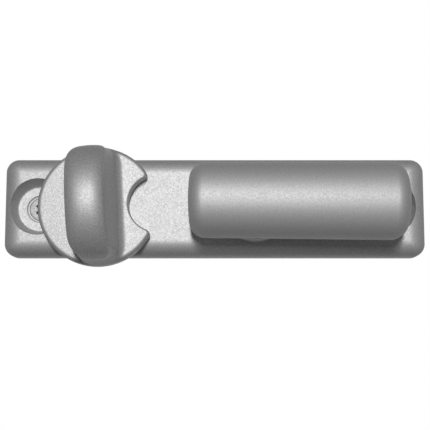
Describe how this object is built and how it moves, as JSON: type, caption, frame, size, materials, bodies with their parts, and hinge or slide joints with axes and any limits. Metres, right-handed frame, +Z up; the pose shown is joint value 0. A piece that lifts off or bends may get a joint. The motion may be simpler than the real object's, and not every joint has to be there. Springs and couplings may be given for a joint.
{
  "type": "tilt turn handle",
  "caption": "Window handle: a slim base plate with a lever grip on a round neck and a ribbed thumb turn whose disc has a driver notch, each on a square spindle.",
  "frame": {"origin": "centre of the base plate's back face", "axes": "+X along the plate from the thumb turn to the lever, +Y out of the back face into the sash, +Z up across the plate"},
  "size_m": [0.14, 0.0717, 0.0391],
  "materials": {
    "plate_silver": "fine metallic satin",
    "lever_silver": "fine metallic satin",
    "thumb_silver": "fine metallic satin",
    "zinc_steel": "zinc plated",
    "screw_steel": "bright zinc plated",
    "spring_steel": "oiled spring steel",
    "bearing_steel": "polished",
    "index_brass": "machined",
    "acetal": "smooth"
  },
  "bodies": {
    "base": {"base_plate": "plate_silver", "rear_cover": "zinc_steel", "rear_cover_screws": "screw_steel", "fixing_screws": "screw_steel", "lever_bush": "acetal", "thumb_turn_bush": "acetal", "lever_detent_balls": "bearing_steel", "lever_detent_springs": "spring_steel", "thumb_turn_detent_ball": "bearing_steel", "thumb_turn_detent_spring": "spring_steel"},
    "lever": {"lever_handle": "lever_silver", "lever_spindle": "zinc_steel", "lever_spindle_pin": "spring_steel", "lever_thrust_washer": "zinc_steel", "lever_index_disc": "index_brass", "lever_wave_washer": "spring_steel", "lever_circlip": "spring_steel"},
    "thumb_turn": {"thumb_turn": "thumb_silver", "thumb_turn_spindle": "zinc_steel", "thumb_turn_spindle_pin": "spring_steel", "thumb_turn_thrust_washer": "zinc_steel", "thumb_turn_index_disc": "index_brass", "thumb_turn_wave_washer": "spring_steel", "thumb_turn_circlip": "spring_steel"}
  },
  "joints": [
    {"name": "lever_turn", "type": "hinge", "parent": "base", "child": "lever", "pos_m": [0.0133, 0, 0], "axis": [0, -1, 0], "range_deg": [-90, 90]},
    {"name": "thumb_turn_turn", "type": "hinge", "parent": "base", "child": "thumb_turn", "pos_m": [-0.0383, 0, -0.0007], "axis": [0, -1, 0], "range_deg": [0, 180]}
  ]
}
